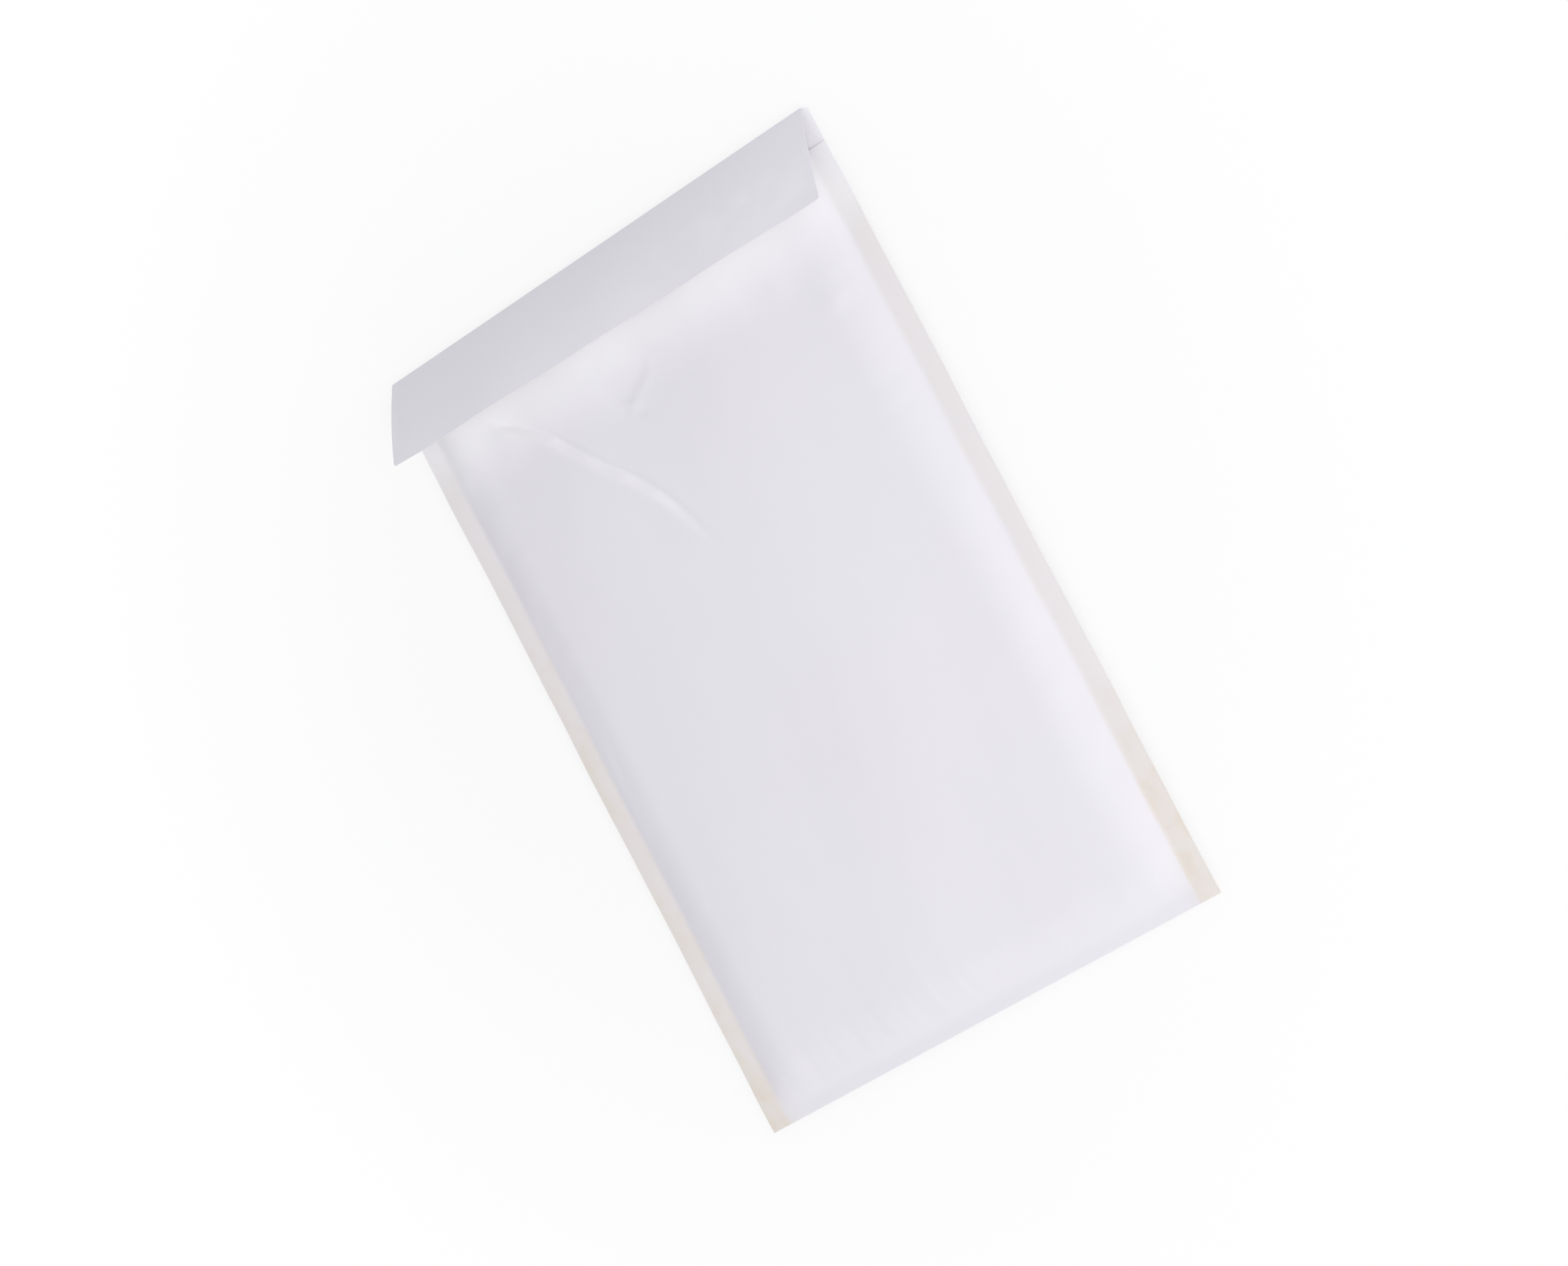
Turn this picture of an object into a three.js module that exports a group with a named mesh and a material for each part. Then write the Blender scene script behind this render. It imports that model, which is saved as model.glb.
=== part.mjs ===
// Padded mailing envelope, new and empty, lying on its back with the flap side up.
//
// White paper makes the front panel, the bottom fold, the back panel and the flap. Bubble film
// lines the pocket, glue closes the two side seams, and release paper covers the adhesive on
// the inside of the flap.
//
// Units are millimetres. +X runs across the front panel, +Y towards the flap and +Z up.
// The origin is the middle of the outline, on the surface that the envelope lies on.

import * as THREE from 'three';

const { clamp, degToRad, lerp, smoothstep } = THREE.MathUtils;

// Outline
const envelopeWidth = 250;
const envelopeLength = 350;
const seamWidth = 10;
const hemWidth = 6; // unpadded margin above the bottom fold
const lipSetback = 16; // from the flap's crease down to the front panel's top edge

// Layers
const paperThickness = 0.3;
const glueThickness = 0.3;
const filmThickness = 2.6; // bubble film, from its flat side to the bubbles' tops
const filmMouthThickness = 2.2; // pressed flatter where it was cut at the mouth
const layerGap = 0.3; // between a sheet and the layer laid on it

// Padding
const seamHeight = 3.2; // of the side seams over the surface
const pocketHeight = 7.5; // between the two films in the middle
const pocketMouthHeight = 5.2;
const pocketSideHeight = 0.4; // the least, beside the seams
const edgeRound = 20; // over which the padding rises beside a seam
const filmInset = 4; // from a seam to the film's edge
const lipMargin = 5; // paper past the film at the mouth
const lipDroop = 1.5;

// How far from each edge the pillow shape runs in
const sideRunIn = 30;
const bottomRunIn = 30;
const mouthRunIn = 20;
const bottomSlope = 120;
const mouthSlope = 90;
const mouthTaper = 12;

// Flap
const flapLength = 41;
const flapInset = 2.5; // at each end, from the side seam's outer edge
const flapCornerRadius = 1.2;
const flapRiseLeft = 35; // degrees off the front panel, at the flap's left end
const flapRiseRight = 25.5;
const flapBendEnd = 5; // degrees of curl either side of the mean rise
const flapBendMiddle = 14;
const creaseRadius = 0.8;

// Glue, adhesive and release strip
const glueMargin = 1; // bare paper on each side of a line of glue
const adhesiveThickness = 0.2;
const adhesiveWidth = 15;
const adhesiveInset = 5; // from the flap's free edge
const adhesiveEndGap = 5; // from each end of the flap
const releaseThickness = 0.2;
const releaseOverhang = 2; // past the adhesive along both long edges
const releaseEndGap = 2;

// Places that follow from the sizes above
const halfWidth = envelopeWidth / 2;
const halfLength = envelopeLength / 2;
const halfPaper = paperThickness / 2;
const padHalf = halfWidth - seamWidth;
const padBottom = -halfLength + hemWidth;
const foldRadius = (glueThickness + paperThickness) / 2;
const foldStart = -halfLength + foldRadius + halfPaper;
const creaseStart = halfLength - creaseRadius - halfPaper;
const lip = halfLength - lipSetback;
const filmEnd = lip - lipMargin;
const filmHalf = padHalf - filmInset;
const filmStart = padBottom + filmInset;
const flapHalf = halfWidth - flapInset;

// Steps of the meshes
const foldSteps = 2;
const creaseSteps = 5;
const flapSteps = 9;
const cornerSteps = 3;
const stripSteps = 4;

const square = (value) => value * value;

// Steep at the start and level at the end
const swell = (distance, length) => 1 - square(1 - clamp(distance / length, 0, 1));

// Evenly spaced values after from, up to and including to
function steps(from, to, count) {
  return Array.from({ length: count }, (_, index) => lerp(from, to, (index + 1) / count));
}

// Shape of the pillow

// 1 where the back panel lies flat, falling to 0 at the seams, the bottom and the crease
function settled(x, y) {
  const side = smoothstep(padHalf - Math.abs(x), 0, sideRunIn);
  const bottom = smoothstep(y - padBottom, 0, bottomRunIn);
  const mouth = smoothstep(creaseStart - y, 0, mouthRunIn);
  return side * bottom * mouth;
}

// 0 along the seams and the bottom, 1 where the padding has its full thickness
function padded(x, y) {
  return swell(padHalf - Math.abs(x), edgeRound) * swell(y - padBottom, edgeRound);
}

// Full thickness of the film, which is pressed flatter towards the mouth
function filmAt(y) {
  const cut = smoothstep(y, filmEnd - mouthTaper, filmEnd);
  return lerp(filmThickness, filmMouthThickness, cut);
}

// Heights of the middle of the paper

const backHeight = (x, y) => halfPaper + seamHeight * (1 - settled(x, y));

// The front panel's height where the padding under it is full
function cushionHeight(x, y) {
  const across = 1 - square(Math.min(Math.abs(x) / padHalf, 1));
  const sideRoom = seamHeight + pocketSideHeight;
  const fill = (pocketHeight - sideRoom) * swell(y - padBottom, bottomSlope);
  const flatten = (pocketHeight - pocketMouthHeight) * smoothstep(y, filmEnd - mouthSlope, filmEnd);
  const room = sideRoom + across * (fill - flatten);
  return paperThickness + halfPaper + 2 * layerGap + 2 * filmAt(y) + room;
}

function frontHeight(x, y) {
  const atSeam = seamHeight + paperThickness + glueThickness + halfPaper;
  const droop = lipDroop * square(clamp((y - filmEnd) / lipMargin, 0, 1));
  return lerp(atSeam, cushionHeight(x, y) - droop, padded(x, y));
}

// Thickness of each film: its own, or what the paper leaves it beside a seam
function filmThicknessAt(x, y) {
  const betweenPapers = frontHeight(x, y) - backHeight(x, y) - paperThickness;
  const room = betweenPapers - 2 * layerGap - pocketSideHeight * padded(x, y);
  return Math.min(filmAt(y), room / 2);
}

// Grid lines of the body, shared by all its layers so that their facets match

const sideColumns = [
  0,
  ...steps(0, padHalf - sideRunIn, 5),
  ...steps(padHalf - sideRunIn, padHalf - edgeRound, 3),
  ...steps(padHalf - edgeRound, filmHalf, 4),
];
const seamColumns = [...sideColumns, padHalf, halfWidth];
const bothSides = (half) => [...half.slice(1).reverse().map((x) => -x), ...half];

const filmRows = [
  filmStart,
  ...steps(filmStart, padBottom + edgeRound, 4),
  ...steps(padBottom + edgeRound, padBottom + bottomRunIn, 3),
  ...steps(padBottom + bottomRunIn, filmEnd - mouthTaper, 9),
  ...steps(filmEnd - mouthTaper, filmEnd, 3),
];
const frontRows = [foldStart, padBottom, ...filmRows, ...steps(filmEnd, lip, 2)];
const backRows = [...frontRows, ...steps(lip, creaseStart, 3)];

// A closed solid between a lower and an upper skin, each a grid of points [row][column]
function solidBetween(lower, upper) {
  const rowCount = lower.length;
  const columnCount = lower[0].length;
  const positions = [...lower.flat(2), ...upper.flat(2)];
  const low = (row, column) => row * columnCount + column;
  const high = (row, column) => low(row, column) + rowCount * columnCount;
  const lastRow = rowCount - 1;
  const lastColumn = columnCount - 1;
  const index = [];
  const quad = (a, b, c, d) => index.push(a, b, c, a, c, d);

  for (let row = 0; row < lastRow; row += 1) {
    for (let column = 0; column < lastColumn; column += 1) {
      quad(high(row, column), high(row, column + 1), high(row + 1, column + 1), high(row + 1, column));
      quad(low(row, column), low(row + 1, column), low(row + 1, column + 1), low(row, column + 1));
    }
    quad(low(row, 0), high(row, 0), high(row + 1, 0), low(row + 1, 0));
    quad(low(row, lastColumn), low(row + 1, lastColumn), high(row + 1, lastColumn), high(row, lastColumn));
  }
  for (let column = 0; column < lastColumn; column += 1) {
    quad(low(0, column), low(0, column + 1), high(0, column + 1), high(0, column));
    quad(low(lastRow, column), high(lastRow, column), high(lastRow, column + 1), low(lastRow, column + 1));
  }

  const geometry = new THREE.BufferGeometry();
  geometry.setAttribute('position', new THREE.Float32BufferAttribute(positions, 3));
  geometry.setIndex(index);
  geometry.computeVertexNormals();
  return geometry;
}

// Sheets are swept along stations: points of a line in the YZ plane, each with its heading
// from +Y towards +Z, and with the half width that the sheet has there

// A layer of a sheet, between two offsets to the left of the heading
function sheetSolid(columns, stationRows, nearOffset, farOffset) {
  const skin = (offset) => stationRows.map((stationAt) => columns.map((share) => {
    const { x, y, z, heading } = stationAt(share);
    return [x, y - offset * Math.sin(heading), z + offset * Math.cos(heading)];
  }));
  return solidBetween(skin(nearOffset), skin(farOffset));
}

// Stations where the sheet follows a height over the surface
function panelStations(rows, heightAt) {
  const reach = 0.01;
  return rows.map((y) => (share) => {
    const x = share * halfWidth;
    const rise = heightAt(x, y + reach) - heightAt(x, y - reach);
    return { x, y, z: heightAt(x, y), heading: Math.atan2(rise, 2 * reach) };
  });
}

// Half of the bottom fold, from its outermost line round to the panel's start.
// turn is 1 for the back panel, which lies under the fold's middle, and -1 for the front panel.
function bottomFoldStations(turn) {
  const middle = backHeight(0, foldStart) + foldRadius;
  const headings = [-Math.PI / 2, ...steps(-Math.PI / 2, 0, foldSteps).slice(0, -1)];
  return headings.map((heading) => (share) => ({
    x: share * halfWidth,
    y: foldStart + foldRadius * Math.sin(heading),
    z: middle - turn * foldRadius * Math.cos(heading),
    heading: turn * heading,
  }));
}

// How steeply the flap rises at the crease and at its free edge, in radians
function flapRise(x) {
  const mean = lerp(flapRiseLeft, flapRiseRight, (x + flapHalf) / (2 * flapHalf));
  const bend = lerp(flapBendMiddle, flapBendEnd, square(x / flapHalf));
  return { start: degToRad(mean + bend), end: degToRad(mean - bend) };
}

// The point of the crease's arc with a given heading
function creasePoint(x, heading) {
  return {
    x,
    y: creaseStart + creaseRadius * Math.sin(heading),
    z: backHeight(x, creaseStart) + creaseRadius * (1 - Math.cos(heading)),
    heading,
  };
}

function creaseStations() {
  return steps(0, 1, creaseSteps).map((turned) => (share) => {
    const x = share * flapHalf;
    return creasePoint(x, turned * (Math.PI - flapRise(x).start));
  });
}

// How far the flap's ends stand in at a distance from the crease, because of its round corners
function cornerInset(distance) {
  const past = clamp(distance - (flapLength - flapCornerRadius), 0, flapCornerRadius);
  return flapCornerRadius - Math.sqrt(square(flapCornerRadius) - square(past));
}

// Stations at distances along the flap from its crease
function flapStations(distances, half) {
  return distances.map((distance) => (share) => {
    const x = share * (half - cornerInset(distance));
    const { start, end } = flapRise(x);
    const root = creasePoint(x, Math.PI - start);
    const rise = lerp(start, end, distance / flapLength);
    const chord = (start + rise) / 2;
    return {
      x,
      y: root.y - distance * Math.cos(chord),
      z: root.z + distance * Math.sin(chord),
      heading: Math.PI - rise,
    };
  });
}

// Materials

const paperLook = (colour) => new THREE.MeshStandardMaterial({ color: colour, roughness: 0.62 });
const glueLook = () => new THREE.MeshStandardMaterial({ color: 0xe6d9c2, roughness: 0.5 });
const filmLook = () => new THREE.MeshStandardMaterial({
  color: 0xe9eef0,
  roughness: 0.25,
  transparent: true,
  opacity: 0.6,
});

// Pieces

const panelColumns = bothSides(seamColumns).map((x) => x / halfWidth);

function frontPanel() {
  const stations = [...bottomFoldStations(-1), ...panelStations(frontRows, frontHeight)];
  return sheetSolid(panelColumns, stations, -halfPaper, halfPaper);
}

function backPanelWithFlap() {
  const flapLengths = [
    ...steps(0, flapLength - flapCornerRadius, flapSteps),
    ...steps(flapLength - flapCornerRadius, flapLength, cornerSteps),
  ];
  const stations = [
    ...bottomFoldStations(1),
    ...panelStations(backRows, backHeight),
    ...creaseStations(),
    ...flapStations(flapLengths, flapHalf),
  ];
  return sheetSolid(panelColumns, stations, -halfPaper, halfPaper);
}

function bubbleFilm(heightAt) {
  const columns = bothSides(sideColumns);
  const skin = (side) => filmRows.map((y) => columns.map((x) => [x, y, heightAt(x, y, side)]));
  return solidBetween(skin(0), skin(1));
}

function backFilm() {
  return bubbleFilm((x, y, side) => {
    const base = backHeight(x, y) + halfPaper + layerGap;
    return base + side * filmThicknessAt(x, y);
  });
}

function frontFilm() {
  return bubbleFilm((x, y, side) => {
    const base = frontHeight(x, y) - halfPaper - layerGap;
    return base - (1 - side) * filmThicknessAt(x, y);
  });
}

function seamGlue() {
  const length = lip - foldStart - 2 * glueMargin;
  return new THREE.BoxGeometry(seamWidth - 2 * glueMargin, length, glueThickness);
}

function placeSeamGlue(mesh, side) {
  const height = seamHeight + paperThickness + glueThickness / 2;
  mesh.position.set(side * (halfWidth - seamWidth / 2), (lip + foldStart) / 2, height);
}

// A strip laid on the inside of the flap, between two distances from the crease
function flapStrip(from, to, half, depth, thickness) {
  const stations = flapStations([from, ...steps(from, to, stripSteps)], half);
  const near = halfPaper + depth;
  return sheetSolid(panelColumns, stations, near, near + thickness);
}

const adhesiveEnd = flapLength - adhesiveInset;
const adhesiveStart = adhesiveEnd - adhesiveWidth;

function sealAdhesive() {
  return flapStrip(adhesiveStart, adhesiveEnd, flapHalf - adhesiveEndGap, layerGap, adhesiveThickness);
}

function releaseStrip() {
  const depth = 2 * layerGap + adhesiveThickness;
  const start = adhesiveStart - releaseOverhang;
  const end = adhesiveEnd + releaseOverhang;
  return flapStrip(start, end, flapHalf - releaseEndGap, depth, releaseThickness);
}

// Assembly

const envelope = new THREE.Group();

function addPiece(name, geometry, material) {
  const mesh = new THREE.Mesh(geometry, material);
  mesh.name = name;
  envelope.add(mesh);
  return mesh;
}

addPiece('front_panel', frontPanel(), paperLook(0xe5e3eb));
addPiece('back_panel_with_flap', backPanelWithFlap(), paperLook(0xe1dfe7));
addPiece('bubble_film_back', backFilm(), filmLook());
addPiece('bubble_film_front', frontFilm(), filmLook());
placeSeamGlue(addPiece('seam_glue_left', seamGlue(), glueLook()), -1);
placeSeamGlue(addPiece('seam_glue_right', seamGlue(), glueLook()), 1);
addPiece('seal_adhesive', sealAdhesive(), glueLook());
addPiece('release_strip', releaseStrip(), paperLook(0xf2f1ee));

export default envelope;
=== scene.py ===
"""Padded mailing envelope of white paper, lying on its back with its flap standing off the front.

One folded sheet of paper, two layers of bubble film, two lines of seam glue and the covered seal
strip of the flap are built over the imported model. Lengths are in metres, in the model's own frame:
+X across the front panel, +Y towards the flap, +Z up.
"""

import logging
import math
from dataclasses import dataclass
from enum import Enum

import bpy
import numpy as np
from mathutils import Matrix, Vector


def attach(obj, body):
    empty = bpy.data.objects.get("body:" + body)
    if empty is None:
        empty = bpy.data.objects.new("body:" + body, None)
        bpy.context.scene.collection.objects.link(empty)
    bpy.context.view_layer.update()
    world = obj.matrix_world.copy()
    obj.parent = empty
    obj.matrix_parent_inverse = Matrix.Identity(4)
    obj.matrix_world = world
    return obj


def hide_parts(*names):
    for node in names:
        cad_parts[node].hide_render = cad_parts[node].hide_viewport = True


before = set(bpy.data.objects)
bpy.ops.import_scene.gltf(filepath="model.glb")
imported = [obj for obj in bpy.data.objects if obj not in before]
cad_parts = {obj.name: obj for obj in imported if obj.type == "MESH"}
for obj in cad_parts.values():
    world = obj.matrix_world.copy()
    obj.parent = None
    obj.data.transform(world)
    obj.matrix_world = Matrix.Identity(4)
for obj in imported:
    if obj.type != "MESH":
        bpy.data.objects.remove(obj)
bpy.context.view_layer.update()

Array = np.ndarray
Piece = bpy.types.Object
Material = bpy.types.Material
Socket = bpy.types.NodeSocket
Value = object  # a socket that feeds an input, or the input's own value
Triple = tuple[float, float, float]
Screen = tuple[int, int, int]  # a colour as a screen shows it, from 0 to 255
Span = tuple[float, float]  # where something starts and ends

log = logging.getLogger("padded_envelope")


# Small mathematics


def smoothstep(value: Array, low: float, high: float) -> Array:
    """Rise smoothly from 0 at low to 1 at high."""
    share = np.clip((np.asarray(value) - low) / (high - low), 0.0, 1.0)
    return share * share * (3.0 - 2.0 * share)


def swell(distance: Array, length: float) -> Array:
    """Rise steeply from 0 and level off at 1, a length away."""
    return 1.0 - (1.0 - np.clip(np.asarray(distance) / length, 0.0, 1.0)) ** 2


def hump(distance: Array, width: float) -> Array:
    """Give a bell curve: 1 at a distance of 0, and about a third at the width."""
    return np.exp(-((distance / width) ** 2))


def lerp(start: Array, end: Array, share: Array) -> Array:
    """Blend from start to end by a share from 0 to 1."""
    return start + (end - start) * share


def points_of(x: Array, y: Array, z: Array) -> Array:
    """Join three coordinates into points."""
    return np.stack(np.broadcast_arrays(x, y, z), axis=-1)


def linear(colour: Screen) -> tuple[float, ...]:
    """Turn a screen colour into scene light, with an alpha of 1."""
    shares = [part / 255.0 for part in colour]
    return (*(part / 12.92 if part <= 0.04045 else ((part + 0.055) / 1.055) ** 2.4 for part in shares), 1.0)


@dataclass(frozen=True)
class Waves:
    """A smooth irregular field made of plane waves, the same at every run."""

    wavelength: float
    seed: int
    spread: float = 0.35
    count: int = 9
    stretch: tuple[float, float] = (1.0, 1.0)

    def at(self, x: Array, y: Array) -> Array:
        """Read the field.

        Args:
            x: First coordinate.
            y: Second coordinate.

        Returns:
            Values that mostly lie between -1 and 1.
        """
        random = np.random.default_rng(self.seed)
        total = np.zeros(np.broadcast(x, y).shape)
        for _ in range(self.count):
            angle = random.uniform(0.0, math.tau)
            length = self.wavelength * math.exp(random.normal(0.0, self.spread))
            along = (x * math.cos(angle) / self.stretch[0] + y * math.sin(angle) / self.stretch[1]) / length
            total += np.cos(math.tau * along + random.uniform(0.0, math.tau))
        return total / math.sqrt(self.count)

    def along(self, place: Array) -> Array:
        """Read the field along its first axis."""
        return self.at(place, 0.0 * place)


# Shape of the envelope


@dataclass(frozen=True)
class EnvelopeShape:
    """Sizes of the envelope and the heights of its layers."""

    width: float = 0.250
    length: float = 0.350
    seam_width: float = 0.010
    hem_width: float = 0.006
    lip_setback: float = 0.016
    paper: float = 0.0003
    glue: float = 0.0003
    film: float = 0.0026
    film_at_mouth: float = 0.0022
    layer_gap: float = 0.0003
    seam_height: float = 0.0032
    pocket: float = 0.0075
    pocket_at_mouth: float = 0.0052
    pocket_at_side: float = 0.0004
    edge_round: float = 0.020
    film_inset: float = 0.004
    lip_margin: float = 0.005
    lip_droop: float = 0.0015
    side_run_in: float = 0.030
    bottom_run_in: float = 0.030
    mouth_run_in: float = 0.020
    bottom_slope: float = 0.120
    mouth_slope: float = 0.090
    mouth_taper: float = 0.012
    flap_length: float = 0.041
    flap_inset: float = 0.0025
    flap_corner: float = 0.0012
    flap_rise_left: float = 35.0
    flap_rise_right: float = 25.5
    flap_bend_end: float = 5.0
    flap_bend_middle: float = 14.0
    crease_radius: float = 0.0008

    @property
    def half(self) -> float:
        """Half of the width."""
        return self.width / 2

    @property
    def half_paper(self) -> float:
        """Half of the paper's thickness."""
        return self.paper / 2

    @property
    def pad_half(self) -> float:
        """Distance from the middle to the seams' inner lines."""
        return self.half - self.seam_width

    @property
    def pad_bottom(self) -> float:
        """Where the padding starts above the bottom fold."""
        return -self.length / 2 + self.hem_width

    @property
    def fold_radius(self) -> float:
        """Radius of the bottom fold, to the middle of the paper."""
        return (self.glue + self.paper) / 2

    @property
    def fold_start(self) -> float:
        """Where the panels turn into the bottom fold."""
        return -self.length / 2 + self.fold_radius + self.half_paper

    @property
    def crease_start(self) -> float:
        """Where the back panel turns into the flap's crease."""
        return self.length / 2 - self.crease_radius - self.half_paper

    @property
    def lip(self) -> float:
        """The front panel's top edge."""
        return self.length / 2 - self.lip_setback

    @property
    def film_end(self) -> float:
        """The film's cut edge at the mouth."""
        return self.lip - self.lip_margin

    @property
    def film_half(self) -> float:
        """Half of the film's width."""
        return self.pad_half - self.film_inset

    @property
    def film_start(self) -> float:
        """The film's lower end."""
        return self.pad_bottom + self.film_inset

    @property
    def flap_half(self) -> float:
        """Half of the flap's width."""
        return self.half - self.flap_inset

    def settled(self, x: Array, y: Array) -> Array:
        """Say where the back panel lies flat.

        Args:
            x: Place across the panel.
            y: Place along the panel.

        Returns:
            1 where it is flat, 0 at the seams, the bottom and the crease.
        """
        side = smoothstep(self.pad_half - np.abs(x), 0.0, self.side_run_in)
        bottom = smoothstep(y - self.pad_bottom, 0.0, self.bottom_run_in)
        mouth = smoothstep(self.crease_start - y, 0.0, self.mouth_run_in)
        return side * bottom * mouth

    def padded(self, x: Array, y: Array) -> Array:
        """Say how full the padding is: 0 along the seams and the bottom, 1 inside."""
        side = swell(self.pad_half - np.abs(x), self.edge_round)
        return side * swell(y - self.pad_bottom, self.edge_round)

    def film_at(self, y: Array) -> Array:
        """Give the film's full thickness, which is pressed flatter at the mouth."""
        cut = smoothstep(y, self.film_end - self.mouth_taper, self.film_end)
        return lerp(self.film, self.film_at_mouth, cut)

    def back_height(self, x: Array, y: Array) -> Array:
        """Give the height of the middle of the back paper."""
        return self.half_paper + self.seam_height * (1.0 - self.settled(x, y))

    def front_height(self, x: Array, y: Array) -> Array:
        """Give the height of the middle of the front paper.

        Args:
            x: Place across the panel.
            y: Place along the panel.

        Returns:
            The height over the surface that the envelope lies on.
        """
        across = 1.0 - np.minimum(np.abs(x) / self.pad_half, 1.0) ** 2
        side_room = self.seam_height + self.pocket_at_side
        fill = (self.pocket - side_room) * swell(y - self.pad_bottom, self.bottom_slope)
        flatten = (self.pocket - self.pocket_at_mouth) * smoothstep(
            y, self.film_end - self.mouth_slope, self.film_end
        )
        room = side_room + across * (fill - flatten)
        cushion = self.paper + self.half_paper + 2 * self.layer_gap + 2 * self.film_at(y) + room
        at_seam = self.seam_height + self.paper + self.glue + self.half_paper
        droop = self.lip_droop * np.clip((y - self.film_end) / self.lip_margin, 0.0, 1.0) ** 2
        return lerp(at_seam, cushion - droop, self.padded(x, y))

    def film_thickness(self, x: Array, y: Array) -> Array:
        """Give each film's thickness: its own, or what the papers leave it beside a seam."""
        room = self.front_height(x, y) - self.back_height(x, y) - self.paper - 2 * self.layer_gap
        return np.minimum(self.film_at(y), (room - self.pocket_at_side * self.padded(x, y)) / 2)

    def corner_inset(self, distance: Array) -> Array:
        """Give how far the flap's ends stand in because of its round corners."""
        past = np.maximum(distance - (self.flap_length - self.flap_corner), 0.0)
        return self.flap_corner - np.sqrt(np.maximum(self.flap_corner**2 - past**2, 0.0))

    def flap_angles(self, x: Array) -> tuple[Array, Array]:
        """Give how steeply the flap rises.

        Args:
            x: Place across the flap.

        Returns:
            The angles at its crease and at its free edge, in radians.
        """
        mean = lerp(self.flap_rise_left, self.flap_rise_right, (x + self.flap_half) / (2 * self.flap_half))
        bend = lerp(self.flap_bend_middle, self.flap_bend_end, (x / self.flap_half) ** 2)
        return np.radians(mean + bend), np.radians(mean - bend)

    def crease_point(self, x: Array, heading: Array) -> tuple[Array, Array]:
        """Give y and z on the arc of the flap's crease, where the paper has turned by a heading."""
        z = self.back_height(x, self.crease_start) + self.crease_radius * (1.0 - np.cos(heading))
        return self.crease_start + self.crease_radius * np.sin(heading), z

    def flap_point(self, x: Array, distance: Array) -> tuple[Array, Array, Array]:
        """Follow the flap from its crease.

        Args:
            x: Place across the flap.
            distance: Distance from the crease along the paper.

        Returns:
            y, z and the paper's heading there.
        """
        start, end = self.flap_angles(x)
        root_y, root_z = self.crease_point(x, math.pi - start)
        rise = lerp(start, end, distance / self.flap_length)
        chord = (start + rise) / 2
        return root_y - distance * np.cos(chord), root_z + distance * np.sin(chord), math.pi - rise


@dataclass(frozen=True)
class Crease:
    """A ridge pressed into the paper along a line, with a groove on its left side."""

    points: tuple[tuple[float, float], ...]
    ridge: float
    groove: float
    width: float
    fade: float = 0.012
    tail: float = 0.012
    # Strength of the painted highlight, a whiter tone between the ridge and the groove.
    painted_highlight: float = 0.0
    flank: float = 3.5
    groove_offset: float = 1.9
    groove_width: float = 0.85
    sag_share: float = 1.25
    sag_widths: float = 3.0
    sag_margin: float = 0.004
    white_level: float = 0.95
    white_swing: float = 0.22
    white_most: float = 1.3
    white_waves: Waves = Waves(0.022, 98)

    def line(self) -> Array:
        """Round the line through its points.

        Returns:
            Closely spaced points, one per row.
        """
        given = np.array(self.points)
        if len(given) == 2:
            return given[0] + np.linspace(0.0, 1.0, 24)[:, None] * (given[1] - given[0])
        ends = np.vstack([2 * given[0] - given[1], given, 2 * given[-1] - given[-2]])
        share = np.linspace(0.0, 1.0, 12, endpoint=False)[:, None]
        runs = []
        for a, b, c, d in zip(ends, ends[1:], ends[2:], ends[3:]):
            curve = (2 * a - 5 * b + 4 * c - d) * share**2 + (-a + 3 * b - 3 * c + d) * share**3
            runs.append(0.5 * (2 * b + (c - a) * share + curve))
        return np.vstack([*runs, given[-1:]])

    def near(self, x: Array, y: Array) -> tuple[Array, Array]:
        """Measure how far places lie from the crease.

        Args:
            x: Place across the panel.
            y: Place along the panel.

        Returns:
            The distance, above 0 on the crease's left side, and how strong the crease is there.
        """
        line = self.line()
        steps = np.diff(line, axis=0)
        lengths = np.linalg.norm(steps, axis=1)
        starts = np.concatenate([[0.0], np.cumsum(lengths)])
        best = np.full(np.shape(x), np.inf)
        side = np.zeros(np.shape(x))
        along = np.zeros(np.shape(x))
        for (px, py), (sx, sy), length, start in zip(line, steps, lengths, starts):
            dx, dy = x - px, y - py
            share = np.clip((dx * sx + dy * sy) / length**2, 0.0, 1.0)
            distance = np.hypot(dx - share * sx, dy - share * sy)
            nearer = distance < best
            best = np.where(nearer, distance, best)
            side = np.where(nearer, np.sign(sx * dy - sy * dx) * distance, side)
            along = np.where(nearer, start + share * length, along)
        return side, smoothstep(along, 0.0, self.fade) * smoothstep(starts[-1] - along, 0.0, self.tail)

    def relief(self, x: Array, y: Array) -> Array:
        """Give its height over the plain panel: ridge above 0 and groove below it."""
        side, strength = self.near(x, y)
        return strength * (
            self.ridge * hump(side, np.where(side < 0, self.flank * self.width, self.width))
            - self.groove * hump(side - self.groove_offset * self.width, self.groove_width * self.width)
        )

    def white(self, x: Array, y: Array) -> Array:
        """Give the crease's painted highlight: a whiter tone, most between the ridge and the groove."""
        side, strength = self.near(x, y)
        return strength * self.painted_highlight * hump(side - self.width, self.width) * np.clip(
            self.white_level + self.white_swing * self.white_waves.at(x, y), 0.0, self.white_most
        )

    def sag(self, x: Array, y: Array) -> Array:
        """Give how far the film under the crease is pressed down, a little more than the crease is."""
        side, strength = self.near(x, y)
        return self.sag_share * max(self.groove, -self.ridge) * strength * hump(
            side, self.sag_widths * self.width + self.sag_margin
        )


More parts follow.
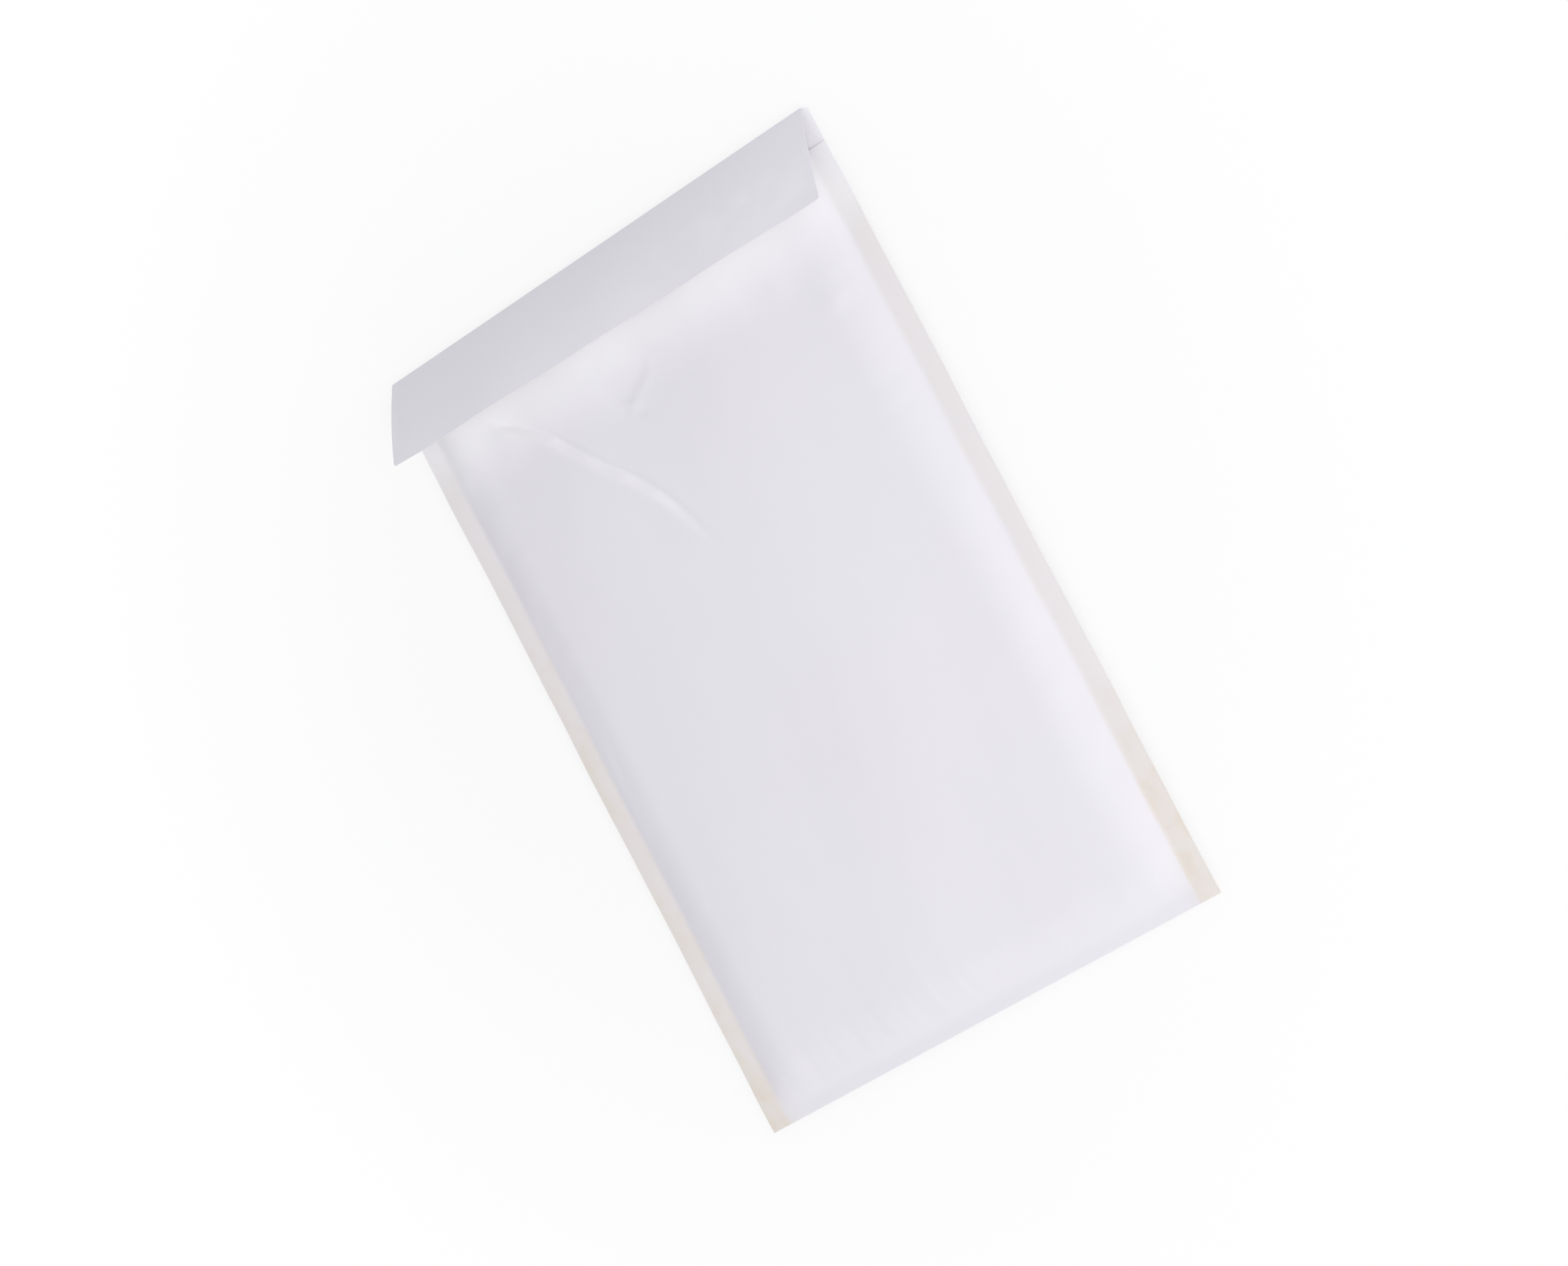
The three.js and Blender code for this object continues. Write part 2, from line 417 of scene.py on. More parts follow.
@dataclass(frozen=True)
class Puckers:
    """Short waves that die away from a glued edge."""

    height: float
    reach: float
    run_in: float
    waves: Waves

    def at(self, distance: Array, x: Array, y: Array) -> Array:
        """Give their height at a distance from the edge."""
        fade = np.exp(-np.maximum(distance, 0.0) / self.reach) * smoothstep(distance, 0.0, self.run_in)
        return self.height * fade * self.waves.at(x, y)


@dataclass(frozen=True)
class PaperRelief:
    """Everything that sets the handled paper apart from its plain form."""

    shape: EnvelopeShape
    # Each crease has its points, then its ridge, groove, width, fade, tail and painted highlight.
    creases: tuple[Crease, ...] = (
        Crease(
            (
                (-0.0834, 0.1355), (-0.0761, 0.1302), (-0.0683, 0.1252), (-0.0611, 0.1195), (-0.0564, 0.1141),
                (-0.0508, 0.1071), (-0.0418, 0.0964), (-0.0309, 0.0848), (-0.0202, 0.0706), (-0.0137, 0.0577),
                (-0.0043, 0.0358),
            ),
            0.00090, 0.00115, 0.0020, 0.011, 0.060, 0.42,
        ),
        Crease(
            ((0.0062, 0.1285), (0.0003, 0.1223), (-0.0093, 0.1169), (-0.0163, 0.1126), (-0.0265, 0.1065)),
            -0.00032, -0.00020, 0.0024, 0.012, 0.016,
        ),
        Crease(
            ((-0.0194, 0.1116), (-0.0122, 0.1081), (-0.0041, 0.1039)),
            -0.00036, -0.00024, 0.0018, 0.004, 0.008,
        ),
        Crease(
            ((0.1045, 0.1065), (0.0995, 0.1010), (0.0950, 0.0971)),
            0.00036, 0.00018, 0.0022, 0.006, 0.006,
        ),
        Crease(
            ((0.0730, 0.1253), (0.0785, 0.1190), (0.0833, 0.1128)),
            0.00034, 0.00016, 0.0030, 0.006, 0.006,
        ),
        Crease(((-0.0549, 0.1197), (-0.0543, 0.1144)), 0.00026, 0.00014, 0.0014, 0.003, 0.003),
        Crease(((-0.0262, 0.0894), (-0.0269, 0.0855)), 0.00026, 0.00014, 0.0014, 0.003, 0.003),
        Crease(
            ((-0.1080, 0.0060), (-0.1100, -0.0120), (-0.1118, -0.0350)),
            0.00018, 0.00012, 0.0020, 0.010, 0.010,
        ),
    )
    side_puckers: Puckers = Puckers(0.00042, 0.011, 0.005, Waves(0.019, 67, 0.5, stretch=(3.0, 1.0)))
    hem_puckers: Puckers = Puckers(0.00036, 0.013, 0.004, Waves(0.014, 71, 0.5, stretch=(1.0, 3.0)))
    seam_waves: Waves = Waves(0.060, 11, stretch=(2.0, 1.0))
    seam_height: float = 0.00022
    face_waves: Waves = Waves(0.105, 23, stretch=(0.8, 1.3))
    face_height: float = 0.00070
    fine_waves: Waves = Waves(0.038, 37)
    fine_height: float = 0.00007
    back_waves: Waves = Waves(0.085, 41)
    back_height: float = 0.00011
    flap_waves: Waves = Waves(0.090, 53, stretch=(1.0, 3.0))
    flap_height: float = 0.00055
    mouth_waves: Waves = Waves(0.075, 89)
    mouth_swing: float = 0.30
    mouth_height: float = 0.0028
    mouth_middle: float = 0.150
    mouth_reach: float = 0.016
    mouth_run_out: float = 0.012
    full_at: float = 0.9
    pinch_depth: float = 0.00014
    pinch_span: Span = (0.0030, 0.0004)
    wander_length: float = 0.055
    wander_height: float = 0.00016

    def seam(self, x: Array, y: Array) -> Array:
        """Give how far the glued margins wave up and down, both papers together."""
        return self.seam_height * self.seam_waves.at(x, y)

    def front(self, x: Array, y: Array, pressed: bool = False) -> Array:
        """Give the front panel's relief.

        Args:
            x: Place across the panel.
            y: Place along the panel.
            pressed: Whether it is wanted for the film, which the creases only press down.

        Returns:
            Height over the plain front panel.
        """
        shape = self.shape
        face = self.face_height * self.face_waves.at(x, y) + self.fine_height * self.fine_waves.at(x, y)
        folds = 1.0 + self.mouth_swing * self.mouth_waves.along(x)
        opened = self.mouth_height * folds * hump(y - self.mouth_middle, self.mouth_reach)
        face = face + opened * smoothstep(shape.lip - y, 0.0, self.mouth_run_out)
        for crease in self.creases:
            face = face - crease.sag(x, y) if pressed else face + crease.relief(x, y)
        face = face + self.side_puckers.at(shape.pad_half - np.abs(x), x, y)
        face = face + self.hem_puckers.at(y - shape.pad_bottom, x, y)
        return lerp(self.seam(x, y), face, smoothstep(shape.padded(x, y), 0.0, self.full_at))

    def back(self, x: Array, y: Array) -> Array:
        """Give the back panel's relief, which never goes below the surface it lies on."""
        lying = self.back_height * (1.0 + np.clip(self.back_waves.at(x, y), -1.0, 1.0))
        return lerp(self.seam(x, y), lying, self.shape.settled(x, y))

    def flap(self, x: Array, distance: Array) -> Array:
        """Give how far the flap bends off its plain curve, towards its inner side."""
        free = distance / self.shape.flap_length
        return self.flap_height * free * self.flap_waves.at(x, distance)

    def pinch(self, x: Array) -> Array:
        """Give how far each paper is drawn to the other along their cut side edges."""
        start, end = (self.shape.half - inset for inset in self.pinch_span)
        return self.pinch_depth * smoothstep(np.abs(x), start, end)

    def edge_wander(self, y: Array, seed: int) -> Array:
        """Give how far a cut side edge strays from its line."""
        return self.wander_height * Waves(self.wander_length, seed).along(y)


# Finishes


class Graph:
    """Adds nodes to a tree and links them."""

    def __init__(self, tree: bpy.types.NodeTree) -> None:
        """Keep the tree and empty it."""
        self.tree = tree
        tree.nodes.clear()

    def add(self, kind: str, inputs: dict | None = None, **settings: object) -> bpy.types.Node:
        """Add a node.

        Args:
            kind: The node's type.
            inputs: Sockets or values for its inputs, by name or number.
            **settings: The node's own settings.

        Returns:
            The new node.
        """
        node = self.tree.nodes.new(kind)
        for name, setting in settings.items():
            setattr(node, name, setting)
        for key, value in (inputs or {}).items():
            if isinstance(value, Socket):
                self.tree.links.new(value, node.inputs[key])
            else:
                node.inputs[key].default_value = value
        return node

    def out(self, kind: str, inputs: dict | None = None, **settings: object) -> Socket:
        """Add a node and give its first result."""
        return self.add(kind, inputs, **settings).outputs[0]

    def math(self, operation: str, first: Value, second: Value = 0.0, third: Value = 0.0) -> Socket:
        """Work out an operation on up to three numbers."""
        return self.out("ShaderNodeMath", {0: first, 1: second, 2: third}, operation=operation)

    def times(self, first: Value, second: Value) -> Socket:
        """Multiply two numbers."""
        return self.math("MULTIPLY", first, second)

    def vector(self, x: Value = 0.0, y: Value = 0.0, z: Value = 0.0) -> Socket:
        """Join three numbers into a vector."""
        return self.out("ShaderNodeCombineXYZ", {0: x, 1: y, 2: z})

    def position(self) -> bpy.types.bpy_prop_collection:
        """Read where each point is, as x, y and z."""
        return self.add("ShaderNodeSeparateXYZ", {0: self.out("GeometryNodeInputPosition")}).outputs

    def mix(self, share: Value, first: Value, second: Value) -> Socket:
        """Blend two colours, from the first at 0 to the second at 1."""
        return self.add("ShaderNodeMix", {0: share, 6: first, 7: second}, data_type="RGBA").outputs[2]

    def noise(self, where: Value, scale: float, detail: float = 4.0, roughness: float = 0.5) -> Socket:
        """Add noise about 0.5, with so many features per metre, octaves and weight of the finer ones."""
        inputs = {"Vector": where, "Scale": scale, "Detail": detail, "Roughness": roughness}
        return self.out("ShaderNodeTexNoise", inputs)

    def ramp(self, value: Value, low: float, high: float, start: float = 0.0, end: float = 1.0) -> Socket:
        """Map a value smoothly, from start at low to end at high."""
        inputs = {"Value": value, "From Min": low, "From Max": high, "To Min": start, "To Max": end}
        return self.out("ShaderNodeMapRange", inputs, interpolation_type="SMOOTHSTEP")

    def attribute(self, name: str) -> Socket:
        """Read a number stored on the mesh."""
        return self.add("ShaderNodeAttribute", attribute_name=name).outputs["Fac"]

    def bump(self, height: Value, distance: float, under: Socket | None = None) -> Socket:
        """Add a Bump node.

        Args:
            height: Height from 0 to 1.
            distance: Depth of that height in metres.
            under: The normal that it adds to.

        Returns:
            The bumped normal.
        """
        inputs = {"Strength": 1.0, "Distance": distance, "Height": height}
        if under is not None:
            inputs["Normal"] = under
        return self.out("ShaderNodeBump", inputs)


def new_material(name: str) -> tuple[Material, Graph, Socket]:
    """Start a material.

    Args:
        name: The material's name.

    Returns:
        The material, its graph and the object's own coordinates.
    """
    material = bpy.data.materials.new(name)
    material.use_nodes = True
    graph = Graph(material.node_tree)
    return material, graph, graph.add("ShaderNodeTexCoord").outputs["Object"]


def finish_surface(graph: Graph, inputs: dict) -> None:
    """End a material with one Principled surface."""
    surface = graph.out("ShaderNodeBsdfPrincipled", inputs)
    graph.add("ShaderNodeOutputMaterial", {"Surface": surface})


@dataclass(frozen=True)
class Cloud:
    """Noise that is mapped smoothly from low and high to start and end."""

    scale: float
    detail: float = 4.0
    roughness: float = 0.6
    low: float = 0.3
    high: float = 0.7
    start: float = 0.0
    end: float = 1.0

    def grow(self, graph: Graph, place: Socket) -> Socket:
        """Add its nodes."""
        noise = graph.noise(place, self.scale, self.detail, self.roughness)
        return graph.ramp(noise, self.low, self.high, self.start, self.end)


@dataclass(frozen=True)
class Grain:
    """Fine noise that bumps a surface."""

    scale: float
    depth: float
    detail: float = 3.0
    roughness: float = 0.5

    def grow(self, graph: Graph, place: Socket, under: Socket | None = None) -> Socket:
        """Add its nodes, on top of another normal."""
        return graph.bump(graph.noise(place, self.scale, self.detail, self.roughness), self.depth, under)


@dataclass(frozen=True)
class WhitePaper:
    """Smooth white wrapping paper, tinted along the seams where glue has soaked in."""

    name: str = "white_paper"
    sheet: Screen = (234, 232, 237)
    cloud: Screen = (234, 231, 236)
    fleck: Screen = (214, 211, 220)
    glued: Screen = (235, 231, 231)
    stained: Screen = (227, 217, 202)
    # Lighter mottle on the flap, and painted light in patches on the front panel under the flap.
    mottled_and_painted_light: Screen = (240, 239, 243)
    # Painted light: a near-white tone where the flap shades the paper, and painted highlights along the
    # creases.
    painted_light: Screen = (252, 251, 253)
    formation: Cloud = Cloud(9.0, 2.0, 0.4)
    flecks: Cloud = Cloud(1500.0, 3.0, 0.6, 0.62, 0.75)
    patches: Cloud = Cloud(75.0, 2.0, 0.45, 0.40, 0.66)
    soaked: Cloud = Cloud(70.0, 4.0, 0.6, 0.25, 0.72, 0.62)
    blotches: Cloud = Cloud(95.0, 4.0, 0.55, 0.36, 0.72, 0.45)
    sheen: Cloud = Cloud(240.0, 4.0, 0.5, 0.3, 0.7, 0.50, 0.62)
    grains: tuple[Grain, ...] = (
        Grain(2600.0, 0.000010, 4.0, 0.6), Grain(330.0, 0.000022), Grain(45.0, 0.00006, 2.0, 0.4)
    )
    fleck_share: float = 0.16
    mottle_and_painted_light_share: float = 0.38
    stain_share: float = 0.85
    painted_light_share: float = 0.85
    glue_gloss: float = 0.06
    specular: float = 0.32

    def make(self) -> Material:
        """Build the material.

        Returns:
            The paper's material, which reads the glue and stain attributes and two of painted light: a whiter
            tone under the flap and along the creases, and lighter patches under the flap that also carry the
            flap's mottle.
        """
        material, graph, place = new_material(self.name)
        colour = graph.mix(self.formation.grow(graph, place), linear(self.sheet), linear(self.cloud))
        glue = graph.times(graph.attribute("glue"), self.soaked.grow(graph, place))
        mottle_and_painted_light = graph.times(graph.attribute("mottle_and_painted_light"), self.patches.grow(graph, place))
        stain = graph.times(graph.attribute("stain"), self.blotches.grow(graph, place))
        for tint, where, share in (
            (self.fleck, self.flecks.grow(graph, place), self.fleck_share),
            (self.mottled_and_painted_light, mottle_and_painted_light, self.mottle_and_painted_light_share),
            (self.glued, glue, 1.0),
            (self.stained, stain, self.stain_share),
            (self.painted_light, graph.attribute("painted_light"), self.painted_light_share),
        ):
            colour = graph.mix(graph.times(where, share), colour, linear(tint))

        gloss = graph.times(glue, self.glue_gloss)
        roughness = graph.math("SUBTRACT", self.sheen.grow(graph, place), gloss)
        normal = None
        for grain in self.grains:
            normal = grain.grow(graph, place, normal)
        inputs = {"Base Color": colour, "Roughness": roughness, "Normal": normal}
        finish_surface(graph, {**inputs, "Specular IOR Level": self.specular})
        return material


@dataclass(frozen=True)
class CloudyFinish:
    """A finish that wavers between two tints and two degrees of gloss, under a fine grain."""

    name: str
    light: Screen
    dark: Screen
    cloud: Cloud
    gloss: Span
    grain: Grain
    stretch: Triple = (1.0, 1.0, 1.0)

    def normal(self, graph: Graph, place: Socket) -> Socket:
        """Bump the surface with its grain, drawn out along one axis where it is stretched."""
        drawn = graph.out("ShaderNodeMapping", {"Vector": place, "Scale": self.stretch})
        return self.grain.grow(graph, drawn)

    def extras(self, graph: Graph, cloud: Socket) -> dict:
        """Give further inputs of the surface, by name."""
        return {}

    def make(self) -> Material:
        """Build the material.

        Returns:
            The finish as a material.
        """
        material, graph, place = new_material(self.name)
        cloud = self.cloud.grow(graph, place)
        inputs = {
            "Base Color": graph.mix(cloud, linear(self.light), linear(self.dark)),
            "Roughness": graph.ramp(cloud, 0.0, 1.0, *self.gloss),
            "Normal": self.normal(graph, place),
        }
        finish_surface(graph, {**inputs, **self.extras(graph, cloud)})
        return material


@dataclass(frozen=True)
class ClearFilm(CloudyFinish):
    """Milky polythene bubble film."""

    name: str = "bubble_film"
    light: Screen = (238, 241, 243)
    dark: Screen = (225, 229, 232)
    cloud: Cloud = Cloud(160.0, roughness=0.55)
    gloss: Span = (0.12, 0.24)
    grain: Grain = Grain(900.0, 0.00002)
    stretch: Triple = (1.0, 0.12, 1.0)
    opacity: float = 0.50
    haze: float = 0.14
    ior: float = 1.5
    specular: float = 0.55

    def extras(self, graph: Graph, cloud: Socket) -> dict:
        """Make it see-through, less where it is hazy."""
        alpha = graph.math("MULTIPLY_ADD", cloud, self.haze, self.opacity)
        return {"Alpha": alpha, "IOR": self.ior, "Specular IOR Level": self.specular}


@dataclass(frozen=True)
class DriedGlue(CloudyFinish):
    """Cream glue that was rolled on and pressed flat."""

    name: str = "seam_glue"
    light: Screen = (240, 229, 208)
    dark: Screen = (226, 207, 176)
    cloud: Cloud = Cloud(260.0)
    gloss: Span = (0.34, 0.52)
    grain: Grain = Grain(700.0, 0.00004)


@dataclass(frozen=True)
class TackyAdhesive(CloudyFinish):
    """Clear pressure adhesive with tiny bubbles caught in it."""

    name: str = "seal_adhesive"
    light: Screen = (245, 242, 229)
    dark: Screen = (232, 227, 208)
    cloud: Cloud = Cloud(300.0)
    gloss: Span = (0.10, 0.20)
    grain: Grain = Grain(1100.0, 0.00003)
    pit_edge: Span = (0.05, 0.25)

    def normal(self, graph: Graph, place: Socket) -> Socket:
        """Pit the surface with tiny bubbles."""
        pits = graph.out("ShaderNodeTexVoronoi", {"Vector": place, "Scale": self.grain.scale})
        return graph.bump(graph.ramp(pits, *self.pit_edge), self.grain.depth)


@dataclass(frozen=True)
class ReleasePaper(CloudyFinish):
    """Silicone-coated release paper, glossy with a faint grain across it."""

    name: str = "release_paper"
    light: Screen = (243, 241, 236)
    dark: Screen = (235, 232, 225)
    cloud: Cloud = Cloud(180.0, 5.0)
    gloss: Span = (0.22, 0.32)
    grain: Grain = Grain(2200.0, 0.000012)
    stretch: Triple = (0.08, 1.0, 1.0)


# Meshes


def rows_between(*runs: tuple[float, float, int]) -> Array:
    """Join evenly spaced runs, each from start to end in so many steps, into one list of places."""
    parts = [np.linspace(start, end, count, endpoint=False) for start, end, count in runs]
    return np.concatenate([*parts, [runs[-1][1]]])


def grid_faces(rows: int, columns: int, start: int = 0, flipped: bool = False) -> Array:
    """List the quads of a grid whose points run row by row.

    Args:
        rows: Rows of points.
        columns: Points in a row.
        start: Number of the grid's first point.
        flipped: Whether the faces look the other way.

    Returns:
        Four point numbers per face.
    """
    corner = (np.arange(rows - 1)[:, None] * columns + np.arange(columns - 1)[None, :]).ravel() + start
    quads = np.stack([corner, corner + 1, corner + columns + 1, corner + columns], axis=1)
    return quads[:, ::-1] if flipped else quads


def rim_faces(rows: int, columns: int) -> Array:
    """Join the borders of two equal grids, the second one above the first.

    Args:
        rows: Rows of points in each.
        columns: Points in a row.

    Returns:
        Four point numbers per face.
    """
    low = np.arange(rows * columns).reshape(rows, columns)
    border = np.concatenate([low[0, :-1], low[:-1, -1], low[-1, :0:-1], low[:0:-1, 0]])
    after = np.roll(border, -1)
    above = rows * columns
    return np.stack([border, after, after + above, border + above], axis=1)


def new_piece(name: str, points: Array, faces: Array, numbers: dict[str, Array] | None = None) -> Piece:
    """Make a smooth-shaded mesh object at the origin.

    Args:
        name: The object's name.
        points: One point per row.
        faces: Point numbers of each face.
        numbers: A value per point, by the name of its attribute.

    Returns:
        The object, linked to the scene.
    """
    mesh = bpy.data.meshes.new(name)
    mesh.from_pydata(points.tolist(), [], faces.tolist())
    for key, values in (numbers or {}).items():
        stored = mesh.attributes.new(key, "FLOAT", "POINT")
        stored.data.foreach_set("value", np.asarray(values, np.float32).ravel())
    mesh.shade_smooth()
    mesh.validate()
    made = bpy.data.objects.new(name, mesh)
    bpy.context.scene.collection.objects.link(made)
    return made


def slab(name: str, lower: Array, upper: Array, numbers: dict[str, Array] | None = None) -> Piece:
    """Close the room between a lower and an upper grid of points.

    Args:
        name: The object's name.
        lower: Points of the lower skin, row by row.
        upper: Points of the upper skin.
        numbers: A value per grid point, by the name of its attribute.

    Returns:
        The closed piece.
    """
    rows, columns = lower.shape[:2]
    points = np.concatenate([lower.reshape(-1, 3), upper.reshape(-1, 3)])
    top = grid_faces(rows, columns, rows * columns)
    bottom = grid_faces(rows, columns, flipped=True)
    doubled = {key: np.tile(np.ravel(values), 2) for key, values in (numbers or {}).items()}
    return new_piece(name, points, np.concatenate([bottom, top, rim_faces(rows, columns)]), doubled)


def apply(piece: Piece, modifier: bpy.types.Modifier) -> None:
    """Turn a modifier's result into the piece's own mesh.

    Args:
        piece: The piece.
        modifier: Its modifier, which is taken off.
    """
    result = bpy.data.meshes.new_from_object(piece.evaluated_get(bpy.context.evaluated_depsgraph_get()))
    plain = piece.data
    piece.modifiers.remove(modifier)
    piece.data = result
    bpy.data.meshes.remove(plain)


def settle(piece: Piece, material: Material, nodes: tuple[str, ...]) -> None:
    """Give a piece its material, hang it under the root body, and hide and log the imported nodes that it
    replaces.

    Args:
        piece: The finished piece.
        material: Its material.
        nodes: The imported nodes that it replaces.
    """
    if not piece.data.materials:
        piece.data.materials.append(material)
    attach(piece, "root")
    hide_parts(*nodes)
    log.info("%s: %d faces for %s", piece.name, len(piece.data.polygons), ", ".join(nodes))


# Pieces


@dataclass
class OuterSheet:
    """The one sheet of paper that is folded into the front panel, the back panel and the flap."""

    shape: EnvelopeShape
    relief: PaperRelief
    fold_steps: int = 5
    crease_steps: int = 9
    edge_band: float = 0.012
    crease_columns: Span = (-0.087, 0.008)
    fold_band: float = 0.026
    crease_rows: Span = (0.034, 0.144)
    # Painted light in lighter patches on the front panel under the flap, stored with the flap's mottle.
    painted_light_mottle_band: Span = (0.100, 0.140)
    painted_light_mottle_share: float = 0.9
    # Painted light: the face and seams under the flap are made whiter where the flap shades them, less
    # towards the right, and so is the back paper beside the crease.
    lit_face: Span = (0.106, 0.143)
    lit_right: Span = (0.085, 0.108)
    lit_seam: Span = (0.118, 0.143)
    lit_seam_share: float = 0.75
    lit_back: Span = (0.146, 0.156)
    line_waves: Waves = Waves(0.030, 83)
    line_wander: float = 0.0004
    line_blur: Span = (0.0006, 0.0009)
    glue_top: Span = (0.002, 0.026)
    glue_on_back: float = 0.7
    stain_left: Span = (-0.11, 0.0)
    left_strength: Span = (0.10, 0.80)
    stain_right: Span = (0.06, 0.135)
    right_strength: Span = (0.08, 1.0)
    outer_strength: Span = (0.6, 1.0)
    stain_corner: float = 0.013
    corner_span: Span = (0.104, 0.118)
    mottle_start: Span = (0.016, 0.022)
    mottle_end: Span = (0.0325, 0.0385)
    mottle_across: Span = (-0.04, 0.09)
    mottle_margin: Span = (0.002, 0.0045)
    margin_share: float = 1.4
    closing: float = 0.01
    sharp_angle: float = 40.0

    def columns(self) -> Array:
        """Place the mesh's columns.

        Returns:
            Places across, closer together beside the seams and over the long crease.
        """
        half, (first, last) = self.shape.half, self.crease_columns
        inner = self.shape.pad_half - self.edge_band
        left = (-half, -inner, 16), (-inner, first, 8), (first, last, 82)
        return rows_between(*left, (last, inner, 30), (inner, half, 16))

    def panel_rows(self, *runs: tuple[float, int]) -> Array:
        """Place the rows of a panel from the bottom fold up, by each run's end and number of steps."""
        starts = [self.shape.fold_start, *(end for end, _ in runs[:-1])]
        return rows_between(*((start, end, count) for start, (end, count) in zip(starts, runs)))

    def cut_edge(self, x: Array, y: float, seed: int) -> Array:
        """Let the side edges stray a little inwards from their lines."""
        outer = smoothstep(np.abs(x), self.shape.pad_half, self.shape.half)
        return x - np.sign(x) * outer * np.abs(self.relief.edge_wander(np.array(y), seed))

    def painted_light(self, x: Array, y: float) -> Array:
        """Say where the front paper is given painted light: a whiter tone under the flap, where the flap
        shades the face and the seams, and painted highlights along the creases.

        Args:
            x: Places across the panel.
            y: Place along the panel.

        Returns:
            The whiter tone's share, from 0 to 1.
        """
        on_face = smoothstep(y, *self.lit_face) * (1.0 - 0.5 * smoothstep(x, *self.lit_right))
        on_seam = self.lit_seam_share * smoothstep(y, *self.lit_seam)
        margin = smoothstep(np.abs(x), self.shape.pad_half - 0.001, self.shape.pad_half + 0.001)
        # Painted highlights along the creases.
        painted_crease_highlight = sum(crease.white(x, y) for crease in self.relief.creases)
        return np.clip(lerp(on_face, on_seam, margin) + painted_crease_highlight, 0.0, 1.0)

    def points(self) -> tuple[Array, dict[str, Array]]:
        """Follow the sheet from the front panel's top edge round to the flap's free edge.

        Returns:
            The middle of the paper as rows of points, and the values stored on them.
        """
        shape, relief = self.shape, self.relief
        plain = self.columns()
        rows, marked = [], []

        def add(x: Array, y: Array, z: Array, *marks: Array | float) -> None:
            """Append one row of the sheet, with as many of its four marks as it has."""
            rows.append(points_of(x, y, z))
            marked.append([np.broadcast_to(mark, plain.shape) for mark in (*marks, *[0.0] * 4)[:4]])

        above_fold = shape.fold_start + self.fold_band
        below_crease, above_crease = self.crease_rows
        runs = (above_fold, 16), (below_crease, 42), (above_crease, 94), (shape.lip, 12)
        for y in self.panel_rows(*runs)[::-1]:
            z = shape.front_height(plain, y) + relief.front(plain, y) - relief.pinch(plain)
            # Painted light in patches under the flap, where the flap shades the face.
            painted_light_mottle = self.painted_light_mottle_share * smoothstep(y, *self.painted_light_mottle_band)
            add(self.cut_edge(plain, y, 5), y, z, *self.seam_marks(plain, y, 1.0), painted_light_mottle, self.painted_light(plain, y))

        for turn in np.linspace(0.0, math.pi, 2 * self.fold_steps + 1)[1:-1]:
            y = shape.fold_start - shape.fold_radius * math.sin(turn)
            middle = shape.back_height(plain, shape.fold_start) + shape.fold_radius
            reach = shape.fold_radius - relief.pinch(plain)
            z = middle + reach * math.cos(turn) + relief.seam(plain, shape.fold_start)
            add(self.cut_edge(plain, y, 6), y, z, *self.seam_marks(plain, y, 1.0))

        for y in self.panel_rows((above_fold, 14), (above_crease, 34), (shape.crease_start, 14)):
            closed = relief.pinch(plain) * smoothstep(shape.lip - y, 0.0, self.closing)
            z = shape.back_height(plain, y) + relief.back(plain, y) + closed
            marks = self.seam_marks(plain, y, self.glue_on_back)
            # The back paper beside the crease gets painted light where the flap shades it.
            add(self.cut_edge(plain, y, 7), y, z, *marks, 0.0, smoothstep(y, *self.lit_back))

        share = plain / shape.half
        x = share * shape.flap_half
        start, _ = shape.flap_angles(x)
        lift = relief.seam(x, shape.crease_start)
        for turned in np.linspace(0.0, 1.0, self.crease_steps + 1)[1:]:
            y, z = shape.crease_point(x, turned * (math.pi - start))
            add(x, y, z + lift)

        knee = shape.flap_length - shape.flap_corner
        for distance in rows_between((0.0, knee, 18), (knee, shape.flap_length, 5))[1:]:
            x = share * (shape.flap_half - shape.corner_inset(distance))
            y, z, heading = shape.flap_point(x, distance)
            bend = relief.flap(x, distance)
            y, z = y - bend * np.sin(heading), z + lift + bend * np.cos(heading)
            add(x, y, z, 0.0, 0.0, self.flap_marks(x, distance))

        names = ("glue", "stain", "mottle_and_painted_light", "painted_light")
        return np.array(rows), dict(zip(names, np.moveaxis(np.array(marked), 1, 0)))

    def seam_marks(self, x: Array, y: float, strength: float) -> tuple[Array, Array]:
        """Say where glue shows through the paper and where it has stained it.

        Args:
            x: Places across the panel.
            y: Place along the panel.
            strength: How clearly it shows.

        Returns:
            The glue's tint and the stains, both from 0 to 1.
        """
        shape, away = self.shape, np.abs(x)
        line = shape.pad_half + self.line_wander * self.line_waves.at(np.full_like(x, y), np.sign(x))
        inside = smoothstep(away, line - self.line_blur[0], line + self.line_blur[1])
        glue = inside * smoothstep(shape.lip - y, *self.glue_top) * strength
        outer_half = smoothstep(away, shape.pad_half + 0.002, shape.half)
        left = (x < 0) * lerp(*self.left_strength, smoothstep(-y, *self.stain_left))
        left = left * lerp(*self.outer_strength, outer_half)
        right = (x > 0) * lerp(*self.right_strength, smoothstep(-y, *self.stain_right))
        corner = np.exp(-np.hypot(away - shape.half, y + shape.length / 2) / self.stain_corner)
        corner = corner * smoothstep(away, *self.corner_span) * strength
        stain = glue * np.clip(left + right, 0.0, 1.0) + corner
        return glue, np.clip(stain, 0.0, 1.0)

